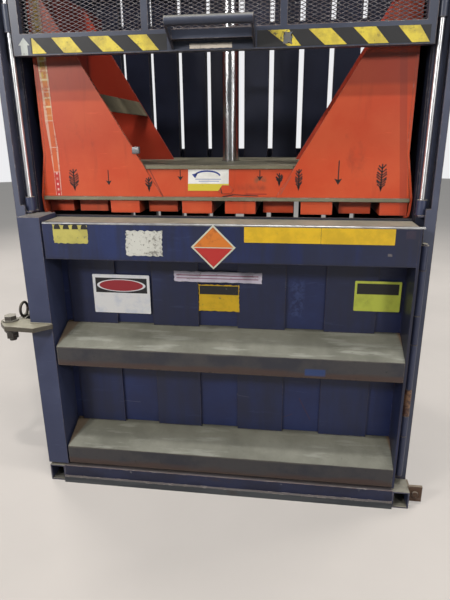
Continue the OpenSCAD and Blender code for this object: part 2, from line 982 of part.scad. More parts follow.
base_runners();
base_cross_members();
front_sill();
base_plate();
chamber_floor();
runner_side_lug();
column_left();
column_right();
side_wall_left();
side_wall_right();
side_stiffeners();
rear_slats();
rear_rails();
rear_posts();
header_plate();
head_frame();
latch_keeper();
guide_rods();
guide_rod_sockets();
guide_rod_holders();
cylinder_barrel();
cylinder_gland();
cylinder_bolts();
piston_rod();
rod_foot_flange();
oil_tank();
pump_motor();
hydraulic_pump();
valve_block();
oil_pipes();
control_box();
start_button();
stop_button();
platen_flange_plate();
platen_bars();
platen_front_panel();
platen_front_wedges();
platen_rear_wedges();
platen_ledge_plate();
platen_side_shoes();
platen_brace();
gate_frame();
gate_mesh();
gate_sleeves();
gate_handle();
door_skin();
door_bands();
door_top_beam();
door_wear_strip();
door_top_lip();
door_upper_rib();
door_lower_rib();
door_latch_stile();
door_hinge_side();
door_knuckles();
frame_knuckles();
latch_lug();
latch_bolt();
latch_hook();
diamond_placard();
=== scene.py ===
"""Vertical recycling baler: the painted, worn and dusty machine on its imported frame, in metres."""

import bpy
import bmesh
import math
from mathutils import Matrix, Vector


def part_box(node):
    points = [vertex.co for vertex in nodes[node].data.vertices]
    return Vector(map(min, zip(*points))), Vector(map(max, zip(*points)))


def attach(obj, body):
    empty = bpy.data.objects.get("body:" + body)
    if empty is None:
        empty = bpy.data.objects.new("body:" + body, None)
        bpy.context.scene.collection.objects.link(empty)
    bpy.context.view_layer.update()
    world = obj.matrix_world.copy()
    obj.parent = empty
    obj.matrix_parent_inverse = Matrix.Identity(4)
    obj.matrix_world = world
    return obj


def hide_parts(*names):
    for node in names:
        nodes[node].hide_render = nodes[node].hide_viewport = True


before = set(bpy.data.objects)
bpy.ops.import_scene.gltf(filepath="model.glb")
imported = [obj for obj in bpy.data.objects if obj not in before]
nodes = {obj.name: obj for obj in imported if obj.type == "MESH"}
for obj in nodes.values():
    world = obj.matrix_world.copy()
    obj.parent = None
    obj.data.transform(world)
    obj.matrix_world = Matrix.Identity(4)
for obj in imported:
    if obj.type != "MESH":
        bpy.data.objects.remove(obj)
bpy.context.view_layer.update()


# ---------------------------------------------------------------- colours and shader sums

def card(red, green, blue):
    """A colour read off a 0-255 paint card, as the linear value a shader wants."""
    def one(value):
        value /= 255
        return value / 12.92 if value <= 0.04045 else ((value + 0.055) / 1.055) ** 2.4
    return (one(red), one(green), one(blue), 1.0)


class Value:
    """One output of a node, which adds, multiplies and subtracts like a number."""

    def __init__(self, paint, socket):
        self.paint, self.socket = paint, socket

    def sum(self, operation, first, second):
        return self.paint.node("ShaderNodeMath", {"operation": operation}, {0: first, 1: second})

    def __add__(self, other):
        return self.sum("ADD", self, other)

    def __radd__(self, other):
        return self.sum("ADD", other, self)

    def __sub__(self, other):
        return self.sum("SUBTRACT", self, other)

    def __rsub__(self, other):
        return self.sum("SUBTRACT", other, self)

    def __mul__(self, other):
        return self.sum("MULTIPLY", self, other)

    def __rmul__(self, other):
        return self.sum("MULTIPLY", other, self)

    def __truediv__(self, other):
        return self.sum("DIVIDE", self, other)

    def __abs__(self):
        return self.sum("ABSOLUTE", self, 0.0)

    def __or__(self, other):
        return self.sum("MAXIMUM", self, other)


class Paint:
    """One finish on the machine: a material whose nodes are written as sums."""

    def __init__(self, name, coat=0.0, specular=0.5):
        self.material = bpy.data.materials.new(name)
        self.material.use_nodes = True
        self.tree = self.material.node_tree
        self.tree.nodes.clear()
        self.shader = self.tree.nodes.new("ShaderNodeBsdfPrincipled")
        self.shader.inputs["Coat Weight"].default_value = coat
        self.shader.inputs["Coat Roughness"].default_value = 0.25
        self.shader.inputs["Specular IOR Level"].default_value = specular
        end = self.tree.nodes.new("ShaderNodeOutputMaterial")
        self.tree.links.new(self.shader.outputs[0], end.inputs[0])
        self.place = self.node("ShaderNodeTexCoord", out="Object")
        self.x, self.y, self.z = (
            self.node("ShaderNodeSeparateXYZ", None, {0: self.place}, out=k) for k in range(3))
        self.facing = self.node("ShaderNodeNewGeometry", out="Normal")
        self.up = self.node("ShaderNodeSeparateXYZ", None, {0: self.facing}, out=2)

    def node(self, kind, settings=None, sockets=None, out=0):
        """Any node: its settings first, then the values or links of its sockets."""
        made = self.tree.nodes.new(kind)
        for key, value in (settings or {}).items():
            setattr(made, key, value)
        for key, value in (sockets or {}).items():
            if isinstance(value, Value):
                self.tree.links.new(value.socket, made.inputs[key])
            else:
                made.inputs[key].default_value = value
        return Value(self, made.outputs[out])

    def noise(self, scale, detail=3.0, rough=0.55, stretch=(1, 1, 1), shift=0.0):
        """Cloudiness across the machine; a larger scale is finer."""
        where = self.node("ShaderNodeMapping", None,
                          {"Vector": self.place, "Scale": stretch,
                           "Location": (shift, shift * 0.7, shift * 1.3)})
        return self.node("ShaderNodeTexNoise", None,
                         {"Vector": where, "Scale": scale, "Detail": detail, "Roughness": rough})

    def soft(self, value, low, high):
        """0 below low and 1 above high, with a smooth step between; reversed where low is the larger."""
        return self.node("ShaderNodeMapRange", {"interpolation_type": "SMOOTHSTEP"},
                         {0: value, 1: low, 2: high, 3: 0.0, 4: 1.0})

    def span(self, value, low, high, blur):
        """1 between low and high, with soft ends."""
        return self.soft(value, low - blur, low + blur) * self.soft(value, high + blur, high - blur)

    def patch(self, x0, x1, z0, z1, blur=0.001):
        """A rectangle on the front, by its sides in metres."""
        return self.span(self.x, x0, x1, blur) * self.span(self.z, z0, z1, blur)

    def mix(self, first, second, share):
        """The first colour, with a share of the second over it."""
        return self.node("ShaderNodeMix", {"data_type": "RGBA", "blend_type": "MIX"},
                         {0: share, 6: first, 7: second}, out=2)

    def rounded(self, radius):
        """The normal of a corner rounded to this radius."""
        return self.node("ShaderNodeBevel", {"samples": 4}, {"Radius": radius})

    def edge(self, radius):
        """1 on the machine's outer and inner corners, 0 on its flats."""
        along = self.node("ShaderNodeVectorMath", {"operation": "DOT_PRODUCT"},
                          {0: self.rounded(radius), 1: self.facing}, out="Value")
        return self.soft(1 - along, 0.01, 0.22)

    def open(self, distance):
        """1 in the open, 0 deep in a corner."""
        return self.node("ShaderNodeAmbientOcclusion", {"samples": 4}, {"Distance": distance}, out="AO")

    def relief(self, height, strength, distance, radius=0.002):
        """Height as a bump on corners rounded to radius."""
        self.tree.links.new(
            self.node("ShaderNodeBump", None,
                      {"Strength": strength, "Distance": distance, "Height": height,
                       "Normal": self.rounded(radius)}).socket,
            self.shader.inputs["Normal"])

    def wear(self, **values):
        """Sets the shader's sockets: a link where the value varies, a number where it doesn't."""
        for name, value in values.items():
            socket = self.shader.inputs[name.replace("_", " ")]
            if isinstance(value, Value):
                self.tree.links.new(value.socket, socket)
            else:
                socket.default_value = value
        return self.material


DUST = card(138, 134, 116)
DARK_DUST = card(92, 90, 78)
BROWN_STEEL = card(92, 74, 62)
RUST = card(116, 72, 48)
DEEP_RUST = card(66, 42, 34)
BARE_STEEL = card(176, 174, 172)
# colour of the painted shade laid into corners and recesses
CORNER_SHADE = card(24, 24, 28)


def enamel(name, fresh, faded, chips=0.5, dust=0.5, grime_and_shade=0.5, rust=0.3, marks=()):
    """Sprayed machine enamel: faded in patches, chipped at its edges, streaked with dirt runs, darkened in its
    corners as painted shade and dusty on top.
    """
    p = Paint(name, coat=0.12)
    broad = p.noise(1.6, 4)
    cloud = p.noise(7, 5, 0.6, shift=3.1)
    fine = p.noise(150, 2, shift=1.7)
    runs = p.noise(9, 4, 0.6, stretch=(2.2, 2.2, 0.22), shift=5.3)
    rub = p.noise(30, 5, 0.65, stretch=(0.3, 0.3, 2.4), shift=8.2)
    flecks = p.noise(46, 8, 0.72, shift=2.2)
    edge = p.edge(0.006)
    free = p.open(0.07)
    colour = p.mix(fresh, faded, p.soft(broad * 0.55 + cloud * 0.45, 0.38, 0.64))
    colour = p.mix(colour, [c * 0.5 for c in fresh[:3]] + [1], p.soft(runs, 0.56, 0.76) * 0.5 * grime_and_shade)
    colour = p.mix(colour, [min(1, c * 1.7 + 0.03) for c in faded[:3]] + [1], p.soft(rub, 0.63, 0.72) * 0.16)
    # painted shade: ambient occlusion darkens the paint in corners and recesses
    colour = p.mix(colour, p.mix(colour, CORNER_SHADE, 0.75), p.soft(free, 0.72, 0.25) * grime_and_shade)
    worn = p.soft(flecks * 0.8 + edge * 0.34 + broad * 0.12, 0.70 - 0.07 * chips, 0.735 - 0.07 * chips)
    steel = p.mix(BROWN_STEEL, BARE_STEEL, p.soft(flecks, 0.5, 0.62) * 0.55)
    colour = p.mix(colour, steel, worn * min(1.0, 0.4 + chips))
    rusty = p.soft(cloud * 0.6 + flecks * 0.5 - free * 0.12, 0.62, 0.70) * rust
    colour = p.mix(colour, p.mix(RUST, DEEP_RUST, cloud), rusty)
    settled = p.soft(p.up, 0.25, 0.85) * p.soft(cloud * 0.5 + fine * 0.5, 0.2, 0.46) * dust
    colour = p.mix(colour, p.mix(DUST, DARK_DUST, p.soft(cloud, 0.4, 0.66)), settled)
    for mark in marks:
        colour = mark(p, colour, flecks)
    p.relief(fine * 0.12 + worn * -0.6 + cloud * 0.5, 0.35, 0.0012)
    return p.wear(Base_Color=colour, Roughness=0.42 + cloud * 0.14 + settled * 0.4 + rusty * 0.3,
                  Metallic=worn * 0.25)


def chrome(name, tint=card(214, 216, 220), scored=0.4, rough=0.18):
    """Ground and chromed bar with fine rings, oil film and light scoring along it."""
    p = Paint(name)
    rings = p.noise(60, 2, 0.5, stretch=(0.4, 0.4, 9))
    film = p.noise(5, 4, 0.6, stretch=(1, 1, 0.5), shift=4.0)
    score = p.noise(90, 3, 0.6, stretch=(3, 3, 0.04), shift=1.0)
    colour = p.mix(tint, card(120, 118, 112), p.soft(film, 0.5, 0.7) * 0.45)
    colour = p.mix(colour, card(70, 62, 56), p.soft(score, 0.62, 0.72) * scored)
    p.relief(rings * 0.5 + score, 0.05, 0.0003)
    return p.wear(Base_Color=colour, Metallic=1.0, Roughness=rough + film * 0.12)


def raw_steel(name, tone, dark, rough=0.5, rust=0.4, metal=0.75, dust=0.3):
    """Bare rolled or machined steel: mill scale, scratches, rust freckles and dust on top."""
    p = Paint(name)
    cloud = p.noise(8, 5, 0.6)
    freckle = p.noise(70, 7, 0.7, shift=2.0)
    drag = p.noise(60, 3, 0.6, stretch=(0.15, 2, 2), shift=6.0)
    edge = p.edge(0.004)
    colour = p.mix(tone, dark, p.soft(cloud, 0.35, 0.65))
    colour = p.mix(colour, BARE_STEEL, (p.soft(drag, 0.6, 0.7) * 0.35) | (edge * 0.5))
    rusty = p.soft(freckle * 0.6 + cloud * 0.4, 0.54, 0.62) * rust
    colour = p.mix(colour, p.mix(RUST, DEEP_RUST, cloud), rusty)
    settled = p.soft(p.up, 0.3, 0.9) * dust
    colour = p.mix(colour, DUST, settled)
    p.relief(freckle * 0.5 + drag * 0.5, 0.4, 0.0008)
    return p.wear(Base_Color=colour, Metallic=metal - rusty * 0.5 - settled * 0.4,
                  Roughness=rough + rusty * 0.3 + cloud * 0.15)


# ---------------------------------------------------------------- finishes of this machine

GATE_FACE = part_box("gate_frame")[0].y
WEDGE_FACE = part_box("platen_front_wedges")[0].y
PANEL_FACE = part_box("platen_front_panel")[0].y
DOOR_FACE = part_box("door_top_beam")[0].y
SKIN_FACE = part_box("door_skin")[0].y
BAND_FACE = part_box("door_bands")[0].y


def navy_marks(p, colour, flecks):
    """Scrapes, chips, scratches and dirt streaks on the door's skin and beam, the beam darker towards its foot and
    its right end, and the beam's painted shadow across the top of the skin.
    """
    on_skin = p.soft(p.y, SKIN_FACE - 0.012, SKIN_FACE - 0.008)
    on_beam = 1 - on_skin
    streaks = p.noise(5, 5, 0.62, stretch=(3.2, 1, 0.35), shift=12.4)
    rubs = p.noise(16, 5, 0.65, stretch=(0.35, 1, 2.6), shift=15.1)
    colour = p.mix(colour, card(16, 22, 50), p.soft(streaks, 0.50, 0.70) * on_skin * 0.4)
    colour = p.mix(colour, card(62, 74, 118), p.soft(rubs, 0.60, 0.70) * 0.35)
    # painted shadow of the beam across the top of the skin
    colour = p.mix(colour, card(26, 26, 34), p.soft(p.z, 1.012, 1.046) * on_skin * 0.85)
    for x0, x1, z0, z1, tint, share in (
            (0.305, 0.358, 0.80, 0.955, card(70, 86, 140), 0.45),
            (0.04, 0.11, 0.60, 0.74, card(60, 74, 118), 0.3)):
        colour = p.mix(colour, tint, p.patch(x0, x1, z0, z1, 0.012) * p.soft(flecks, 0.42, 0.6) * share)
    for x0, z0, x1, z1, width, tint in (
            (0.080, 0.419, 0.134, 0.413, 0.0016, card(150, 150, 168)),
            (0.356, 0.417, 0.409, 0.310, 0.0020, card(74, 34, 42)),
            (0.288, 0.317, 0.328, 0.335, 0.0016, card(80, 40, 46)),
            (-0.464, 0.352, -0.372, 0.349, 0.0012, card(110, 112, 136)),
            (0.118, 0.705, 0.232, 0.690, 0.0012, card(92, 98, 128))):
        colour = p.mix(colour, tint, line_mark(p, x0, z0, x1, z1, width) * on_skin * 0.75)
    for x0, x1, z0, z1, tint, share in (
            (0.710, 0.744, 1.164, 1.194, card(120, 84, 92), 0.35),
            (0.652, 0.668, 1.098, 1.108, card(170, 160, 160), 0.9),
            (-0.464, -0.166, 1.053, 1.0565, card(126, 116, 112), 0.7),
            (0.050, 0.196, 1.046, 1.0495, card(126, 116, 112), 0.7),
            (-0.66, 0.77, 1.203, 1.212, card(120, 116, 104), 0.5)):
        colour = p.mix(colour, tint, p.patch(x0, x1, z0, z1, 0.0015) * p.soft(flecks, 0.38, 0.50) * on_beam * share)
    colour = p.mix(colour, card(22, 27, 44), p.soft(streaks, 0.34, 0.60) * on_beam * 0.6)
    foot = p.soft(p.z, 1.075, 1.050) * on_beam
    colour = p.mix(colour, card(14, 16, 30), foot * 0.5)
    end = p.soft(p.x, 0.60, 0.76) * on_beam * p.soft(streaks, 0.36, 0.56)
    return p.mix(colour, card(24, 26, 44), end * 0.5)


def hinge_marks(p, colour, flecks):
    """One hinge barrel that has lost its paint, rust over old cream."""
    bare = p.span(p.z, 0.427, 0.546, 0.004) * p.soft(flecks, 0.34, 0.44)
    return p.mix(colour, p.mix(card(150, 110, 76), card(84, 54, 40), p.soft(flecks, 0.46, 0.56)), bare * 0.9)


def line_mark(p, x0, z0, x1, z1, width):
    """1 along a scratch between two points of the front."""
    run = Vector((x1 - x0, z1 - z0))
    size, run = run.length, run.normalized()
    across = abs((p.x - x0) * run.y - (p.z - z0) * run.x)
    forward = (p.x - x0) * run.x + (p.z - z0) * run.y
    return p.soft(across, width, width * 0.4) * p.span(forward, 0.0, size, 0.003)


def rib_finish(name, front_top, front_low):
    """A rib: grey dust on its slope, dark chipped paint on its front and rust along its foot, with painted shadows
    on its slope and painted shade in its corners.
    """
    p = Paint(name)
    cloud = p.noise(6, 5, 0.6)
    broad = p.noise(2.2, 3, shift=4.0)
    fine = p.noise(140, 3, shift=1.0)
    flecks = p.noise(52, 8, 0.74, shift=2.2)
    wipe = p.noise(12, 4, 0.6, stretch=(0.35, 2.4, 2.4), shift=7.7)
    edge = p.edge(0.009)
    slope_shadow = p.soft(p.y, SKIN_FACE - 0.12, SKIN_FACE - 0.01)
    top = p.mix(card(126, 127, 117), card(98, 99, 90), p.soft(cloud * 0.5 + broad * 0.5, 0.36, 0.62))
    top = p.mix(top, card(148, 150, 142), p.soft(wipe, 0.52, 0.66) * 0.55)
    top = p.mix(top, card(80, 80, 70), p.soft(flecks, 0.60, 0.68) * 0.5)
    # painted shadow: the rear of the slope, under the beam or rib above, is darker
    top = p.mix(top, card(86, 84, 68), slope_shadow * 0.45)
    # painted shadow of the left stile: a brown triangle at the left end of the slope
    stile_shadow = p.soft(p.x + (p.y - SKIN_FACE) * -0.42, -0.612, -0.628)
    top = p.mix(top, p.mix(card(70, 58, 46), card(92, 78, 62), p.soft(cloud, 0.4, 0.6)), stile_shadow)
    # painted shadow at the right end of the slope: a narrow brown strip
    right = p.soft(p.x + (p.y - SKIN_FACE) * 0.20, 0.736, 0.748)
    top = p.mix(top, p.mix(card(96, 74, 56), card(112, 92, 72), p.soft(cloud, 0.4, 0.6)), right)
    front = p.mix(card(44, 45, 54), card(64, 62, 64), p.soft(cloud, 0.36, 0.6))
    share = (p.z - front_low) / (front_top - front_low)
    front = p.mix(front, card(72, 52, 44), p.soft(share + wipe * -0.7, 0.06, -0.22) * 0.8)
    front = p.mix(front, card(104, 100, 92), p.soft(share + wipe * 0.3, 1.06, 1.16) * 0.7)
    front = p.mix(front, card(138, 128, 118), p.soft(flecks * 0.8 + edge * 0.3, 0.62, 0.67) * 0.7)
    front = p.mix(front, card(24, 24, 30), p.soft(flecks, 0.40, 0.34) * 0.6)
    chip = p.patch(0.371, 0.452, 0.600, 0.629, 0.004) * p.soft(cloud, 0.33, 0.45)
    front = p.mix(front, card(44, 66, 116), chip * 0.9)
    on_top = p.soft(p.up, 0.15, 0.55)
    colour = p.mix(front, top, on_top)
    # painted shade: darker in the rib's corners and under its overhang
    colour = p.mix(colour, card(26, 24, 24), p.soft(p.open(0.05), 0.6, 0.2) * 0.5)
    p.relief(fine * 0.2 + flecks * 0.8 + wipe * 0.6, 0.5, 0.0020, 0.006)
    return p.wear(Base_Color=colour, Roughness=0.55 + on_top * 0.2 + cloud * 0.15, Metallic=0.0)


def sill_finish():
    """The sill: dark navy above with a bright chipped ridge, bare grey below."""
    p = Paint("sill_paint")
    cloud = p.noise(6, 5, 0.6)
    flecks = p.noise(44, 8, 0.74, stretch=(0.5, 1, 1), shift=2.2)
    wipe = p.noise(10, 4, 0.6, stretch=(0.3, 3, 3), shift=7.7)
    edge = p.edge(0.005)
    upper = p.mix(card(22, 26, 52), card(34, 40, 70), p.soft(cloud, 0.38, 0.62))
    lower = p.mix(card(54, 58, 64), card(74, 78, 82), p.soft(wipe, 0.4, 0.62))
    colour = p.mix(lower, upper, p.soft(p.z, 0.0295, 0.0305))
    band = p.span(p.z, 0.066, 0.085, 0.006)
    chip = p.soft(flecks * 0.8 + edge * 0.25 + band * 0.16, 0.64, 0.68)
    colour = p.mix(colour, p.mix(card(150, 122, 112), card(196, 190, 186), p.soft(flecks, 0.5, 0.6)), chip * 0.8)
    colour = p.mix(colour, card(60, 44, 38), p.soft(wipe * 0.5 + cloud * 0.5, 0.58, 0.68) * 0.5)
    colour = p.mix(colour, card(120, 112, 104), p.soft(p.up, 0.4, 0.9) * 0.5)
    p.relief(flecks, 0.4, 0.0014, 0.003)
    return p.wear(Base_Color=colour, Roughness=0.40 + cloud * 0.2, Metallic=chip * 0.3)


def platen_marks(p, colour, flecks):
    """Rubbed, oily and torn places low on the platen, its blackened seams, a darker strip near its right edge, the
    gate's painted shadow across its top, and painted shade on its rear plates and outer sides.
    """
    smear = p.noise(5, 5, 0.7, stretch=(1, 1, 0.6), shift=9.0)
    low = p.soft(p.z, 1.50, 1.29)
    colour = p.mix(colour, card(112, 44, 32), p.soft(smear + low * 0.06, 0.62, 0.76) * 0.35)
    stain = p.patch(0.05, 0.19, 1.316, 1.334, 0.014) * p.soft(smear, 0.40, 0.62)
    colour = p.mix(colour, card(104, 50, 36), stain * 0.7)
    dull = p.patch(0.147, 0.190, 1.345, 1.365, 0.010) * p.soft(flecks, 0.42, 0.55)
    colour = p.mix(colour, card(120, 84, 60), dull * 0.8)
    for x0, z0, x1, z1, width, tint, share in (
            (0.007, 1.332, 0.015, 1.300, 0.0030, card(40, 28, 28), 0.9),
            (0.015, 1.288, 0.062, 1.297, 0.0036, card(34, 24, 26), 0.95),
            (0.056, 1.297, 0.161, 1.293, 0.0030, card(40, 28, 28), 0.9),
            (0.110, 1.300, 0.195, 1.300, 0.0030, card(134, 30, 26), 0.8),
            (-0.284, 1.400, -0.229, 1.286, 0.0026, card(110, 40, 34), 0.8),
            (0.290, 1.372, 0.250, 1.300, 0.0024, card(130, 90, 78), 0.7)):
        colour = p.mix(colour, tint, line_mark(p, x0, z0, x1, z1, width) * share)
    # a darker vertical strip near the right edge of the front faces, leaning with height
    lean = (p.z - 1.29) * -0.092
    facing_front = p.soft(p.y, PANEL_FACE + 0.02, PANEL_FACE + 0.01)
    dark_strip = p.span(p.x - lean, 0.7095, 0.7355, 0.002) * facing_front
    colour = p.mix(colour, card(150, 52, 36), dark_strip * 0.5)
    # painted shadow of the gate's rail and mesh across the top of the platen's front
    shaded = p.soft(p.z + smear * 0.012, 1.694, 1.716) * facing_front
    colour = p.mix(colour, card(112, 28, 20), shaded * 0.42)
    # painted shade: the plates set back in the platen are darker
    rear = p.soft(p.y, PANEL_FACE + 0.12, PANEL_FACE + 0.2)
    colour = p.mix(colour, card(150, 34, 28), rear * 0.6)
    # painted shade on the platen's outer sides behind its front
    inner = p.soft(abs(p.x), 0.70, 0.72) * p.soft(p.y, PANEL_FACE + 0.02, PANEL_FACE + 0.05)
    return p.mix(colour, card(66, 24, 24), inner * 0.7)


def tape_finish():
    """Hazard tape, rubbed through to the rail and dirty along its edges."""
    p = Paint("hazard_tape")
    cloud = p.noise(20, 5, 0.65)
    flecks = p.noise(60, 8, 0.74, shift=2.0)
    colour = p.mix(card(226, 206, 74), card(196, 176, 70), p.soft(cloud, 0.38, 0.62))
    worn = p.soft(flecks * 0.7 + cloud * 0.3 + p.span(p.x, 0.19, 0.31, 0.02) * 0.07, 0.60, 0.63)
    colour = p.mix(colour, card(62, 64, 66), worn * 0.9)
    colour = p.mix(colour, card(96, 88, 60), p.soft(p.noise(34, 4, 0.6, shift=5.0), 0.58, 0.66) * 0.45)
    p.relief(worn * -1.0 + cloud * 0.4, 0.3, 0.0006, 0.0004)
    return p.wear(Base_Color=colour, Roughness=0.45 + worn * 0.2)


def sticker(name, ground, fields=(), worn=0.3):
    """A printed sheet of plain colour fields, each (x0, x1, z0, z1, colour), with dirt and rubbed spots."""
    p = Paint(name)
    cloud = p.noise(14, 4, 0.6)
    flecks = p.noise(70, 8, 0.74, shift=3.0)
    colour = p.mix(ground, [c * 0.82 for c in ground[:3]] + [1], p.soft(cloud, 0.4, 0.66))
    for x0, x1, z0, z1, tint in fields:
        colour = p.mix(colour, tint, p.patch(x0, x1, z0, z1, 0.0008))
    rubbed = p.soft(flecks * 0.75 + cloud * 0.25, 0.64 - 0.1 * worn, 0.67 - 0.1 * worn)
    colour = p.mix(colour, card(112, 108, 98), rubbed * 0.75)
    p.relief(cloud + flecks * 0.4, 0.2, 0.0006, 0.0004)
    return p.wear(Base_Color=colour, Roughness=0.4 + cloud * 0.15)


def oval_sticker(name):
    """White sheet with a black band and a red oval in it."""
    p = Paint(name)
    cloud = p.noise(14, 4, 0.6)
    colour = p.mix(card(254, 254, 255), card(232, 236, 246), p.soft(cloud, 0.4, 0.66))
    colour = p.mix(colour, card(20, 20, 24), p.patch(-0.534, -0.306, 0.882, 0.948, 0.0008))
    across, along = (p.x + 0.420) / 0.106, (p.z - 0.915) / 0.027
    off = across * across + along * along
    colour = p.mix(colour, card(250, 250, 254), p.soft(off, 1.06, 1.0))
    colour = p.mix(colour, card(168, 48, 58), p.soft(off, 0.86, 0.8))
    p.relief(cloud, 0.2, 0.0005, 0.0004)
    return p.wear(Base_Color=colour, Roughness=0.4 + cloud * 0.15)


def diamond_finish():
    """Placard in two halves, orange over red, with a pale border."""
    p = Paint("placard_sheet")
    cloud = p.noise(16, 5, 0.6)
    flecks = p.noise(60, 8, 0.74, shift=2.0)
    colour = p.mix(card(190, 52, 48), card(222, 128, 48), p.soft(p.z, 1.1175, 1.1185))
    colour = p.mix(colour, card(120, 44, 40), p.soft(cloud, 0.52, 0.68) * 0.5)
    out = abs(p.x - 0.005) + abs(p.z - 1.119)
    colour = p.mix(colour, card(206, 208, 190), p.soft(out, 0.0775, 0.0785))
    colour = p.mix(colour, card(206, 208, 190), p.span(p.z, 1.116, 1.1195, 0.0004))
    colour = p.mix(colour, card(70, 66, 60), p.soft(flecks * 0.8 + out * 0.9, 0.62, 0.66) * 0.8)
    p.relief(cloud + flecks, 0.3, 0.0006, 0.0006)
    return p.wear(Base_Color=colour, Roughness=0.4 + cloud * 0.2)


def plain(name, colour, rough=0.5):
    """Moulded plastic, ink or rubber: one colour with faint cloudiness and a fine grain."""
    p = Paint(name)
    cloud = p.noise(12, 4, 0.6)
    grainy = p.noise(180, 3, shift=2.0)
    shade = p.mix(colour, [c * 0.72 for c in colour[:3]] + [1], p.soft(cloud, 0.36, 0.66))
    p.relief(grainy, 0.15, 0.0004, 0.0008)
    return p.wear(Base_Color=shade, Roughness=rough + cloud * 0.1, Metallic=0.0)


navy = enamel("door_navy", card(14, 29, 76), card(25, 43, 96), chips=0.28, dust=0.8, grime_and_shade=0.25, rust=0.15,
              marks=(navy_marks,))
frame_navy = enamel("frame_navy", card(46, 54, 84), card(60, 68, 98), chips=0.4, dust=0.8)
hinge_paint = enamel("hinge_navy", card(40, 48, 78), card(54, 62, 92), chips=0.5, dust=0.8,
                     marks=(hinge_marks,))
# the door's navy painted lighter for the light the stile catches: a lit copy of the door paint
stile_lit_navy = enamel("latch_stile_lit_navy", card(50, 58, 90), card(64, 72, 104), chips=0.25, dust=0.6, rust=0.1)
column_blue = enamel("column_blue_grey", card(64, 70, 92), card(82, 88, 110), chips=0.5, dust=0.6, rust=0.15)
slat_blue = enamel("slat_dark_blue", card(18, 24, 46), card(26, 33, 58), chips=0.3, dust=0.5, rust=0.2)
gate_grey = enamel("gate_blue_grey", card(50, 56, 74), card(66, 73, 92), chips=0.55, dust=0.5, rust=0.1)
platen_orange = enamel("platen_orange", card(200, 68, 28), card(208, 84, 42), chips=0.2, dust=0.7, grime_and_shade=0.7,
                       rust=0.12, marks=(platen_marks,))
dusty_plate = enamel("dusty_flange", card(110, 106, 86), card(134, 130, 108), chips=0.8, dust=0.8, rust=0.3)
brace_dust = enamel("dusty_brace", card(124, 112, 84), card(106, 96, 74), chips=0.4, dust=0.9, rust=0.2)
tank_blue = enamel("power_unit_blue", card(56, 64, 96), card(70, 78, 108), chips=0.3, dust=0.8)
motor_grey = enamel("motor_grey", card(84, 92, 102), card(104, 110, 118), chips=0.3, dust=0.8)
box_grey = enamel("control_box_grey", card(150, 154, 160), card(168, 170, 174), chips=0.2, dust=0.5, rust=0.0)
upper_rib_paint = rib_finish("dusty_upper_rib", 0.675, 0.589)
lower_rib_paint = rib_finish("dusty_lower_rib", 0.184, 0.098)
sill_paint = sill_finish()
rod_chrome = chrome("rod_chrome")
guide_chrome = chrome("guide_rod_chrome", card(216, 218, 222), 0.2, 0.28)
lip_steel = raw_steel("lip_bright_steel", card(150, 152, 154), card(112, 114, 118), 0.34, 0.1, 0.9, 0.15)
strip_steel = raw_steel("dusty_wear_strip", card(140, 138, 128), card(104, 104, 98), 0.55, 0.25, 0.4, 0.5)
floor_steel = raw_steel("scraped_floor", card(96, 94, 90), card(66, 66, 66), 0.5, 0.5, 0.6, 0.5)
rusty_steel = raw_steel("rusty_hinge", card(96, 72, 56), card(70, 52, 44), 0.7, 0.9, 0.2, 0.4)
dark_steel = raw_steel("dark_hardware", card(84, 80, 76), card(58, 54, 52), 0.5, 0.5, 0.6, 0.4)
zinc = raw_steel("zinc_hardware", card(132, 134, 138), card(104, 106, 110), 0.42, 0.15, 0.85, 0.3)
lug_paint = enamel("latch_lug_olive", card(76, 71, 60), card(96, 90, 76), chips=0.7, dust=0.9, rust=0.8)
tape = tape_finish()
black_tape = plain("black_tape", card(26, 27, 31), 0.5)
ink = plain("black_ink", card(34, 20, 20), 0.6)
blue_ink = plain("blue_ink", card(44, 66, 150), 0.5)
green_plastic = plain("green_button", card(38, 128, 70), 0.35)
red_plastic = plain("red_button", card(176, 32, 28), 0.35)
placard = diamond_finish()

FINISHES = {
    "base_runners": frame_navy, "base_cross_members": frame_navy, "front_sill": sill_paint,
    "base_plate": frame_navy, "chamber_floor": floor_steel, "runner_side_lug": rusty_steel,
    "column_left": column_blue, "column_right": column_blue, "side_wall_left": slat_blue,
    "side_wall_right": slat_blue, "side_stiffeners": column_blue, "rear_slats": slat_blue,
    "rear_rails": frame_navy, "rear_posts": column_blue, "header_plate": frame_navy,
    "head_frame": column_blue, "latch_keeper": column_blue, "guide_rods": guide_chrome,
    "guide_rod_sockets": frame_navy, "guide_rod_holders": column_blue, "cylinder_barrel": frame_navy,
    "cylinder_gland": dark_steel, "cylinder_bolts": zinc, "piston_rod": rod_chrome,
    "rod_foot_flange": platen_orange, "oil_tank": tank_blue, "pump_motor": motor_grey,
    "hydraulic_pump": dark_steel, "valve_block": zinc, "oil_pipes": dark_steel, "control_box": box_grey,
    "start_button": green_plastic, "stop_button": red_plastic, "platen_flange_plate": dusty_plate,
    "platen_bars": platen_orange, "platen_front_panel": platen_orange, "platen_front_wedges": platen_orange,
    "platen_rear_wedges": platen_orange, "platen_ledge_plate": dusty_plate,
    "platen_side_shoes": platen_orange, "platen_brace": brace_dust, "gate_frame": gate_grey,
    "gate_mesh": gate_grey, "gate_sleeves": gate_grey, "gate_handle": gate_grey, "door_skin": navy,
    "door_bands": navy, "door_top_beam": navy, "door_wear_strip": strip_steel, "door_top_lip": lip_steel,
    "door_upper_rib": upper_rib_paint, "door_lower_rib": lower_rib_paint, "door_latch_stile": stile_lit_navy,
    "door_hinge_side": navy, "door_knuckles": frame_navy, "frame_knuckles": hinge_paint,
    "latch_lug": lug_paint, "latch_bolt": dark_steel, "latch_hook": dark_steel, "diamond_placard": placard,
}
for name, finish in FINISHES.items():
    slots = nodes[name].material_slots
    if not slots:
        nodes[name].data.materials.append(finish)
    for slot in slots:
        slot.material = finish


# ---------------------------------------------------------------- bench tools

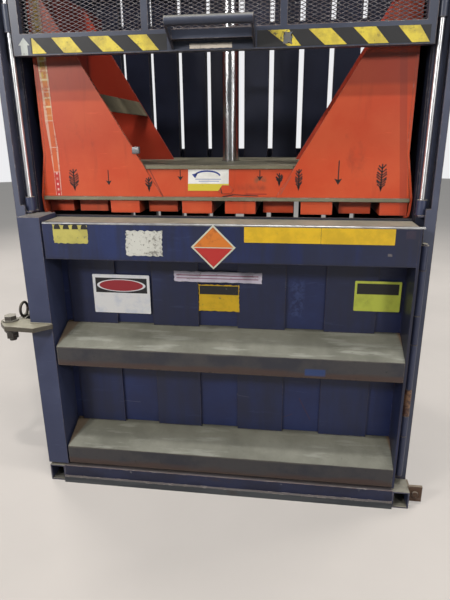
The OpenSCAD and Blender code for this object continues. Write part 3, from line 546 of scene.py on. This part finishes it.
FILM = 0.0006   # thickness of a sheet, a strip of tape or a line of ink


def clear_bench():
    """Back to object mode with nothing selected."""
    if bpy.context.mode != "OBJECT":
        bpy.ops.object.mode_set(mode="OBJECT")
    bpy.ops.object.select_all(action="DESELECT")


def take(piece):
    clear_bench()
    piece.select_set(True)
    bpy.context.view_layer.objects.active = piece


def settle(name):
    """Puts the active piece's place, turn and size into its mesh, and names it."""
    piece = bpy.context.object
    bpy.ops.object.transform_apply(location=True, rotation=True, scale=True)
    piece.name = piece.data.name = name
    return piece


def block(name, low, high):
    """Stock cut to a block between two corners."""
    clear_bench()
    bpy.ops.mesh.primitive_cube_add(size=1, location=[(a + b) / 2 for a, b in zip(low, high)])
    bpy.context.object.scale = [b - a for a, b in zip(low, high)]
    return settle(name)


def pick(piece, what, test):
    """Selects the faces, edges or verts of a piece that pass a test, in edit mode."""
    take(piece)
    bpy.ops.object.mode_set(mode="EDIT")
    bpy.ops.mesh.select_mode(type={"faces": "FACE", "edges": "EDGE", "verts": "VERT"}[what])
    bpy.ops.mesh.select_all(action="DESELECT")
    mesh = bmesh.from_edit_mesh(piece.data)
    for item in getattr(mesh, what):
        if test(item):
            item.select_set(True)
    mesh.select_flush_mode()
    bmesh.update_edit_mesh(piece.data)


def along(axis):
    """A test for edges that run along one axis."""
    def test(edge):
        run = (edge.verts[1].co - edge.verts[0].co).normalized()
        return abs(run[axis]) > 0.99
    return test


def ease(piece, test, size, segments=2):
    """Rounds the chosen edges."""
    pick(piece, "edges", test)
    bpy.ops.mesh.bevel(offset=size, segments=segments, affect="EDGES")
    clear_bench()
    return piece


def shape(piece, kind, **settings):
    """Adds one modifier and applies it."""
    take(piece)
    modifier = piece.modifiers.new(kind.title(), kind)
    for key, value in settings.items():
        setattr(modifier, key, value)
    bpy.ops.object.modifier_apply(modifier=modifier.name)
    return piece


def joined(name, parts):
    clear_bench()
    for part in parts:
        part.select_set(True)
    bpy.context.view_layer.objects.active = parts[0]
    bpy.ops.object.join()
    parts[0].name = parts[0].data.name = name
    return parts[0]


def dress(piece, finish, body):
    """Paints a piece, smooths its rounded edges, and hangs it on its body."""
    piece.data.materials.clear()
    piece.data.materials.append(finish)
    take(piece)
    bpy.ops.object.shade_smooth_by_angle(angle=math.radians(35))
    clear_bench()
    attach(piece, body)
    return piece


def sheet_on_front(name, x, z, y, thickness=FILM, corner=0.004):
    """A thin sheet on a face that looks to the front; x and z are its sides, y the face it lies on."""
    sheet = block(name, (x[0], y - thickness, z[0]), (x[1], y, z[1]))
    return ease(sheet, along(1), corner, 3)


def cut_sheet(name, outline, y, thickness=FILM):
    """A thin sheet cut to an outline of (x, z) corners, lying on the face at y."""
    clear_bench()
    bpy.ops.mesh.primitive_circle_add(vertices=len(outline), radius=1, fill_type="NGON")
    sheet = settle(name)
    pick(sheet, "verts", lambda v: True)
    mesh = bmesh.from_edit_mesh(sheet.data)
    mesh.verts.ensure_lookup_table()
    for v, (x, z) in zip(mesh.verts, outline):
        v.co = (x, y, z)
    bmesh.update_edit_mesh(sheet.data)
    bpy.ops.mesh.select_all(action="SELECT")
    bpy.ops.mesh.extrude_region_move(TRANSFORM_OT_translate={"value": (0, -thickness, 0)})
    bpy.ops.mesh.select_all(action="SELECT")
    bpy.ops.mesh.normals_make_consistent(inside=False)
    clear_bench()
    return sheet


def stroke(points, width, y, taper=1.0):
    """A painted or inked line through (x, z) points, which may narrow towards its end."""
    near, far = [], []
    for k, (x, z) in enumerate(points):
        before, after = points[max(0, k - 1)], points[min(len(points) - 1, k + 1)]
        run = Vector((after[0] - before[0], after[1] - before[1])).normalized()
        half = width / 2 * (1 + (taper - 1) * k / (len(points) - 1))
        near.append((x - run.y * half, z + run.x * half))
        far.append((x + run.y * half, z - run.x * half))
    return cut_sheet("stroke", near + far[::-1], y)


# ---------------------------------------------------------------- camera

def camera():
    """The photograph's view: eye height 1.52 m, a little right of the middle, looking down at the door."""
    yaw, pitch, roll = math.radians(7.8036), math.radians(18.0056), math.radians(-0.4738)
    ahead = Vector((-math.sin(yaw) * math.cos(pitch), math.cos(yaw) * math.cos(pitch), -math.sin(pitch)))
    level = Vector((math.cos(yaw), math.sin(yaw), 0))
    above = level.cross(ahead)
    right = math.cos(roll) * level + math.sin(roll) * above
    top = math.cos(roll) * above - math.sin(roll) * level
    lens = bpy.data.cameras.new("view")
    lens.sensor_width, lens.sensor_fit, lens.lens = 36, "AUTO", 36 * 505.4 / 600
    eye = bpy.data.objects.new("view", lens)
    turn = Matrix((right, top, -ahead)).transposed().to_4x4()
    eye.matrix_world = Matrix.Translation((0.3054, -2.4733, 1.524)) @ turn
    bpy.context.scene.collection.objects.link(eye)
    bpy.context.scene.camera = eye


camera()


# ---------------------------------------------------------------- gate

MESH_LOW, MESH_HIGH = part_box("gate_mesh")


def expanded_bay(name, x0, x1):
    """Expanded metal for one bay: a diamond ring, repeated in staggered rows and trimmed to the bay."""
    long_way, short_way, strand = 0.0305, 0.0127, 0.0011
    y = (MESH_LOW.y + MESH_HIGH.y) / 2
    z0, z1 = MESH_LOW.z, MESH_HIGH.z
    clear_bench()
    bpy.ops.mesh.primitive_circle_add(vertices=4, radius=1, fill_type="NGON", location=(x0, y, z0),
                                      rotation=(math.pi / 2, 0, 0))
    bpy.context.object.scale = (long_way / 2, short_way / 2, 1)
    bay = settle(name)
    pick(bay, "faces", lambda face: True)
    bpy.ops.mesh.inset(thickness=strand, use_boundary=True)
    bpy.ops.mesh.delete(type="FACE")
    clear_bench()
    for count, step in ((2, (long_way / 2, 0, short_way / 2)),
                        (math.ceil((x1 - x0) / long_way) + 1, (long_way, 0, 0)),
                        (math.ceil((z1 - z0) / short_way) + 1, (0, 0, short_way))):
        shape(bay, "ARRAY", count=count, use_relative_offset=False, use_constant_offset=True,
              constant_offset_displace=step, use_merge_vertices=True, merge_threshold=0.0001)
    for point, outward in (((x0, y, z0), (-1, 0, 0)), ((x1, y, z0), (1, 0, 0)),
                           ((x0, y, z0), (0, 0, -1)), ((x0, y, z1), (0, 0, 1))):
        pick(bay, "faces", lambda face: True)
        bpy.ops.mesh.bisect(plane_co=point, plane_no=outward, clear_outer=True)
        clear_bench()
    shape(bay, "SOLIDIFY", thickness=0.0018, offset=0)
    return dress(bay, gate_grey, "gate")


def make_gate():
    """Expanded metal in three bays, and the tapes and marks on the bottom rail."""
    low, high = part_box("gate_frame")
    stile, mullion = 0.032, (0.235, 0.262)
    bays = [(low.x + stile, -mullion[1]), (-mullion[0], mullion[0]), (mullion[1], high.x - stile)]
    for side, (x0, x1) in zip(("left", "middle", "right"), bays):
        bay = expanded_bay("expanded_metal_" + side, x0, x1)
        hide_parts("gate_mesh")
    backing = [ragged("backing", x, (1.8205, 1.8745), GATE_FACE, FILM, 0.001)
               for x in ((-0.690, -0.168), (0.156, 0.743))]
    dress(joined("rail_black_tape", backing), black_tape, "gate")
    stripes, stripe_low, stripe_high = [], 1.8215, 1.8735
    for top, bottom in (((-0.684, -0.679), (-0.684, -0.629)), ((-0.605, -0.533), (-0.561, -0.489)),
                        ((-0.463, -0.387), (-0.410, -0.330)), ((-0.314, -0.243), (-0.259, -0.199)),
                        ((0.194, 0.267), (0.265, 0.310)), ((0.334, 0.411), (0.393, 0.468)),
                        ((0.486, 0.561), (0.541, 0.608)), ((0.635, 0.706), (0.684, 0.742))):
        corners = [(bottom[0], stripe_low), (bottom[1], stripe_low), (top[1], stripe_high), (top[0], stripe_high)]
        stripes.append(cut_sheet("stripe", corners, GATE_FACE - FILM, 0.0004))
    dress(joined("rail_hazard_tape", stripes), tape, "gate")
    torn = ragged("rail_torn_patch", (0.247, 0.281), (1.828, 1.868), GATE_FACE - 0.0010, 0.0004, 0.006)
    dress(torn, sticker("torn_grey_patch", card(104, 108, 112), worn=1.4), "gate")
    worn_strip = ragged("rail_worn_strip", (-0.087, 0.068), (1.8215, 1.8405), GATE_FACE, FILM, 0.002)
    dress(worn_strip, sticker("worn_tan_strip", card(250, 238, 222), worn=0.7), "gate")
    arrow = cut_sheet("rail_up_arrow", [(-0.729, 1.817), (-0.703, 1.817), (-0.703, 1.851), (-0.694, 1.851),
                                        (-0.7155, 1.877), (-0.738, 1.851), (-0.729, 1.851)], GATE_FACE)
    dress(arrow, sticker("pale_arrow", card(186, 192, 188), worn=0.7), "gate")


def ragged(name, x, z, y, thickness, jitter, cuts=14):
    """A thin sheet with torn, uneven sides."""
    sheet = block(name, (x[0], y - thickness, z[0]), (x[1], y, z[1]))
    pick(sheet, "edges", lambda edge: abs(edge.verts[0].co.y - edge.verts[1].co.y) < 1e-6)
    bpy.ops.mesh.subdivide(number_cuts=cuts)
    middle = Vector(((x[0] + x[1]) / 2, 0, (z[0] + z[1]) / 2))
    half = Vector(((x[1] - x[0]) / 2, 1, (z[1] - z[0]) / 2))
    mesh = bmesh.from_edit_mesh(sheet.data)
    for v in mesh.verts:
        out_x, out_z = (v.co.x - middle.x) / half.x, (v.co.z - middle.z) / half.z
        if max(abs(out_x), abs(out_z)) > 0.98:
            wave = math.sin(v.co.x * 310 + v.co.z * 177) + math.sin(v.co.x * 83 - v.co.z * 131 + 1.7)
            v.co.x -= jitter * abs(wave) * out_x * 0.5
            v.co.z -= jitter * abs(wave) * out_z * 0.5
    bmesh.update_edit_mesh(sheet.data)
    clear_bench()
    return sheet


make_gate()


# ---------------------------------------------------------------- platen

def arrow_head(x, z, half, tall, y):
    """A solid head that points down to (x, z)."""
    return cut_sheet("head", [(x - half, z + tall), (x, z + tall * 0.8), (x + half, z + tall), (x, z)], y)


def thin_arrow(x, z0, z1, y):
    """A thin arrow pointing down from z1 to z0."""
    big = z1 - z0 > 0.07
    head = arrow_head(x, z0, 0.015 if big else 0.012, 0.024 if big else 0.018, y)
    return [head, stroke([(x, z1), (x, z0 + 0.012)], 0.0038 if big else 0.0034, y)]


def barbed_arrow(x, z0, z1, y, wide=0.020):
    """A hand-drawn arrow: open strokes that slant down to a stem, wider and closer towards its head."""
    tall = z1 - z0
    parts = [stroke([(x, z1), (x, z0 + 0.01)], 0.0048, y), arrow_head(x, z0, 0.006, 0.018, y)]
    rows = max(4, round(tall / 0.0135))
    for row in range(rows):
        share = row / (rows - 1)
        root = z1 - 0.012 - (tall - 0.034) * share ** 0.85
        reach = wide * (0.55 + 0.45 * math.sin(math.pi * (0.12 + 0.72 * share)))
        for side in (-1, 1):
            sway = 0.0022 * math.sin(row * 2.4 + side + x * 40)
            parts.append(stroke([(x + side * reach, root + 0.008 + sway), (x, root - 0.006)], 0.0050, y, 0.7))
    return parts


def make_platen_marks():
    """Arrows, notice, scale strip, tab and flap on the front of the platen."""
    arrows = thin_arrow(-0.457, 1.334, 1.394, WEDGE_FACE) + thin_arrow(-0.155, 1.352, 1.394, PANEL_FACE)
    arrows += thin_arrow(0.167, 1.353, 1.393, PANEL_FACE) + thin_arrow(0.472, 1.338, 1.430, WEDGE_FACE)
    arrows += barbed_arrow(-0.607, 1.308, 1.398, WEDGE_FACE, 0.021)
    arrows += barbed_arrow(-0.287, 1.306, 1.366, WEDGE_FACE, 0.015)
    arrows += barbed_arrow(0.244, 1.329, 1.383, PANEL_FACE, 0.014)
    arrows += barbed_arrow(0.320, 1.314, 1.398, WEDGE_FACE, 0.014)
    arrows += barbed_arrow(0.635, 1.312, 1.417, WEDGE_FACE, 0.019)
    dress(joined("platen_arrows", arrows), ink, "platen")
    notice = cut_sheet("platen_notice", [(-0.122, 1.396), (0.043, 1.396), (0.042, 1.332), (0.020, 1.330),
                                         (-0.002, 1.312), (-0.125, 1.312)], PANEL_FACE)
    dress(notice, sticker("notice_sheet", card(252, 252, 248),
                          [(-0.2, 0.2, 1.31, 1.340, card(220, 202, 66)),
                           (-0.094, 0.012, 1.3565, 1.3595, card(150, 160, 200)),
                           (-0.080, 0.004, 1.3485, 1.3515, card(160, 168, 206))],
                          worn=0.2), "platen")
    make_swing_arrow()
    make_scale_strip()
    make_edge_tab()
    make_torn_flap()


def make_swing_arrow():
    """Curved arrow on the notice, with its head at the left end."""
    y = PANEL_FACE - FILM
    middle, across, rise = -0.044, 0.051, 0.020
    arc = [(middle + across * math.cos(math.radians(a)), 1.370 + rise * math.sin(math.radians(a)))
           for a in range(6, 166, 12)]
    head = cut_sheet("head", [(-0.107, 1.377), (-0.082, 1.383), (-0.094, 1.362)], y)
    dress(joined("notice_curved_arrow", [stroke(arc, 0.006, y), head]), blue_ink, "platen")


def make_torn_flap():
    """A scrap of orange sheet bent up beside the notice's cut corner."""
    flap = cut_sheet("panel_torn_flap", [(-0.002, 1.310), (0.016, 1.335), (0.046, 1.334), (0.062, 1.316),
                                         (0.052, 1.302), (0.020, 1.300)], PANEL_FACE - FILM, 0.0016)
    dress(ease(flap, lambda edge: True, 0.0005, 1), platen_orange, "platen")


def make_scale_strip():
    """Coloured strip up the left wedge plate: yellow, orange and red fields with pale borders and rungs."""
    rows = ((1.291, -0.692, -0.667), (1.386, -0.692, -0.665), (1.484, -0.698, -0.663), (1.586, -0.706, -0.672),
            (1.695, -0.706, -0.672), (1.812, -0.711, -0.674), (2.060, -0.718, -0.681))
    strip = cut_sheet("platen_scale_strip", [(left, z) for z, left, right in rows] +
                      [(right, z) for z, left, right in reversed(rows)], WEDGE_FACE)
    p = Paint("scale_strip")
    cloud = p.noise(22, 5, 0.6)
    flecks = p.noise(60, 7, 0.7, shift=4.0)
    x = p.x + p.soft(p.z, 1.40, 2.06) * 0.018
    colour = p.mix(card(196, 44, 44), card(214, 98, 48), p.soft(p.z, 1.385, 1.387))
    colour = p.mix(colour, card(214, 122, 50), p.soft(p.z, 1.586, 1.588))
    colour = p.mix(colour, card(206, 168, 62), p.soft(p.z, 1.72, 1.76))
    beat = p.node("ShaderNodeMath", {"operation": "FRACT"}, {0: p.z * 30.0})
    rungs = p.span(beat, 0.1, 0.30, 0.04) * p.soft(p.z, 1.60, 1.62)
    colour = p.mix(colour, card(232, 218, 170), rungs * 0.8)
    colour = p.mix(colour, card(226, 206, 190), p.soft(abs(x + 0.680), 0.0095, 0.0105) * 0.55)
    for level in (1.386, 1.484, 1.587, 1.695):
        colour = p.mix(colour, card(226, 206, 190), p.span(p.z, level - 0.0016, level + 0.0016, 0.0004) * 0.6)
    dots = p.node("ShaderNodeMath", {"operation": "FRACT"}, {0: p.z * 46.0})
    colour = p.mix(colour, card(232, 196, 190), p.span(dots, 0.3, 0.7, 0.06) * p.span(x, -0.683, -0.676, 0.001) *
                   p.soft(p.z, 1.387, 1.385) * 0.8)
    colour = p.mix(colour, card(186, 72, 44), p.soft(cloud * 0.6 + flecks * 0.4, 0.50, 0.60) * 0.75)
    p.relief(cloud, 0.2, 0.0005, 0.0004)
    dress(strip, p.wear(Base_Color=colour, Roughness=0.45 + cloud * 0.1), "platen")


def make_edge_tab():
    """Small bent tab on the left wedge's sloping edge."""
    tab = block("wedge_edge_tab", (-0.349, WEDGE_FACE - 0.004, 1.458), (-0.322, WEDGE_FACE + 0.012, 1.484))
    pick(tab, "faces", lambda face: face.normal.x > 0.9)
    bpy.ops.mesh.extrude_region_move(TRANSFORM_OT_translate={"value": (0.006, -0.012, 0.002)})
    clear_bench()
    ease(tab, lambda edge: True, 0.0015, 2)
    dress(tab, zinc, "platen")


make_platen_marks()


# ---------------------------------------------------------------- door

def make_door_sheets():
    """Bare labels, strips and signs, each on the beam's or a band's face."""
    yellow, black = card(240, 196, 44), card(22, 22, 24)
    label = ragged("beam_yellow_label", (-0.636, -0.492), (1.122, 1.198), DOOR_FACE, FILM, 0.004)
    dress(label, sticker("pale_yellow_sheet", card(206, 196, 104), worn=0.6), "door")
    peaks = []
    for k in range(4):
        x = -0.630 + 0.037 * k
        peaks.append(cut_sheet("peak", [(x, 1.180), (x + 0.027, 1.180), (x + 0.024, 1.194), (x + 0.018, 1.200),
                                        (x + 0.008, 1.200), (x + 0.003, 1.193)], DOOR_FACE - FILM))
    dress(joined("beam_label_peaks", peaks), sticker("dark_peaks", card(26, 26, 28), worn=0.4), "door")
    weathered = ragged("beam_white_label", (-0.342, -0.191), (1.077, 1.181), DOOR_FACE, FILM, 0.007)
    dress(weathered, sticker("weathered_white_sheet", card(222, 222, 214), worn=1.1), "door")
    for name, x in (("beam_long_strip_left", (0.123, 0.4075)), ("beam_long_strip_right", (0.4085, 0.673))):
        strip = sheet_on_front(name, x, (1.140, 1.199), DOOR_FACE, corner=0.002)
        dress(strip, sticker(name + "_sheet", yellow, worn=0.1), "door")
    thin = ragged("skin_pale_strip", (-0.187, 0.185), (0.940, 0.988), BAND_FACE, FILM, 0.003)
    dress(thin, sticker("pale_strip_sheet", card(232, 224, 240),
                        [(-0.175, 0.170, 0.968, 0.972, card(150, 84, 110)),
                         (-0.175, 0.170, 0.955, 0.959, card(150, 100, 128))], worn=0.5), "door")
    white = sheet_on_front("skin_white_sign", (-0.546, -0.294), (0.790, 0.963), BAND_FACE, 0.001)
    dress(white, oval_sticker("white_sign_sheet"), "door")
    header = [(-0.078, 0.087, 0.888, 0.926, black)]
    warm = ragged("skin_yellow_sign", (-0.083, 0.092), (0.813, 0.932), BAND_FACE, FILM, 0.004)
    dress(warm, sticker("yellow_sign_sheet", yellow, header, worn=0.5), "door")
    cool = sheet_on_front("skin_green_sign", (0.560, 0.742), (0.838, 0.965), BAND_FACE, 0.001)
    dress(cool, sticker("yellow_green_sheet", card(216, 226, 92), [(0.569, 0.733, 0.910, 0.955, black)], worn=0.1),
          "door")


def weld_bead(name, start, end, radius, finish, body):
    """A row of overlapping scallops laid along a seam."""
    start, end = Vector(start), Vector(end)
    run = end - start
    pitch = radius * 0.55
    clear_bench()
    bpy.ops.mesh.primitive_ico_sphere_add(subdivisions=2, radius=radius, location=start)
    bead = settle(name)
    shape(bead, "ARRAY", count=int(run.length / pitch) + 1, use_relative_offset=False, use_constant_offset=True,
          constant_offset_displace=run.normalized() * pitch)
    return dress(bead, finish, body)


def make_door():
    """Sheets on the door, and weld beads at its lug and along its ribs."""
    make_door_sheets()
    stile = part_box("door_latch_stile")
    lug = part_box("latch_lug")
    for side, z in (("top", lug[1].z), ("bottom", lug[0].z)):
        weld_bead("lug_weld_" + side, (stile[0].x + 0.002, stile[0].y, z), (stile[1].x - 0.002, stile[0].y, z),
                  0.0045, lug_paint, "door")
    left_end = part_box("door_top_beam")[0].x
    for rib in ("door_upper_rib", "door_lower_rib"):
        low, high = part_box(rib)
        weld_bead(rib + "_weld", (left_end, SKIN_FACE, low.z), (high.x, SKIN_FACE, low.z), 0.004, navy, "door")


make_door()


# ---------------------------------------------------------------- stage and lights

def stage_paint(name, colour, shift):
    """A pale, faintly clouded ground with a little light of its own."""
    p = Paint(name, specular=0.2)
    cloud = p.noise(0.9, 5, 0.6, shift=shift)
    return p.wear(Base_Color=p.mix(colour, [c * 0.9 for c in colour[:3]] + [1], p.soft(cloud, 0.35, 0.7)),
                  Roughness=0.8, Emission_Color=card(240, 238, 235), Emission_Strength=0.27)


def studio():
    """Pale floor and surround, soft lights overhead and to the sides, and tall ones for the chrome's gloss."""
    clear_bench()
    bpy.ops.mesh.primitive_plane_add(size=40, location=(0, 0, 0))
    floor = settle("studio_floor")
    floor.data.materials.append(stage_paint("pale_floor", card(158, 152, 147), 2.0))
    clear_bench()
    bpy.ops.mesh.primitive_uv_sphere_add(segments=48, ring_count=24, radius=18, location=(0, 0, 0))
    dome = settle("studio_dome")
    glow = bpy.data.materials.new("pale_surround")
    glow.use_nodes = True
    shader = glow.node_tree.nodes["Principled BSDF"]
    shader.inputs["Base Color"].default_value = (0, 0, 0, 1)
    shader.inputs["Emission Color"].default_value = card(236, 236, 238)
    shader.inputs["Emission Strength"].default_value = 1.0
    dome.data.materials.append(glow)
    dome.visible_diffuse = dome.visible_glossy = dome.visible_shadow = floor.visible_diffuse = False
    world = bpy.data.worlds.new("studio")
    world.use_nodes = True
    world.node_tree.nodes["Background"].inputs["Color"].default_value = (0.86, 0.93, 1.0, 1)
    world.node_tree.nodes["Background"].inputs["Strength"].default_value = 0.05
    bpy.context.scene.world = world
    for name, place, aim, size, power in (
            ("overhead_strip", (0.0, -1.25, 5.2), (0, -0.75, 0), (3.4, 0.25), 110),
            ("left_key", (-2.9, -3.9, 3.1), (0, -0.5, 0.7), (0.6, 0.6), 112),
            ("right_key", (2.7, -3.9, 3.1), (0, -0.5, 0.7), (0.6, 0.6), 45),
            ("high_front", (0.5, -2.6, 5.8), (0, -0.4, 1.6), (0.3, 0.12), 115),
            ("right_fill", (3.6, -3.6, 2.4), (0, -0.3, 1.0), (2.5, 2.5), 6),
            ("rear_left", (-4.4, 3.4, 4.2), (0, 0.2, 1.6), (2.5, 2.5), 260),
            ("rear_right", (4.6, 2.6, 3.8), (0, 0.2, 1.6), (2.5, 2.5), 260),
            ("rod_glint_left", (-4.4, -3.4, 1.7), (-0.8, -0.4, 1.7), (1.0, 3.4), 65),
            ("rod_glint_middle", (2.8, -4.8, 1.7), (0, -0.2, 1.7), (0.6, 3.4), 16),
            ("rod_glint_right", (4.2, -3.4, 1.7), (0.8, -0.4, 1.7), (1.0, 3.4), 60)):
        lamp = bpy.data.lights.new(name, "AREA")
        lamp.shape, lamp.size, lamp.size_y, lamp.energy = "RECTANGLE", size[0], size[1], power
        lamp.color = (1.0, 0.965, 0.92)
        holder = bpy.data.objects.new(name, lamp)
        holder.location = place
        holder.visible_diffuse = not name.startswith("rod_glint")
        holder.rotation_mode = "QUATERNION"
        holder.rotation_quaternion = (Vector(aim) - Vector(place)).to_track_quat("-Z", "Y")
        bpy.context.scene.collection.objects.link(holder)
    bpy.context.scene.view_settings.view_transform = "Standard"


studio()
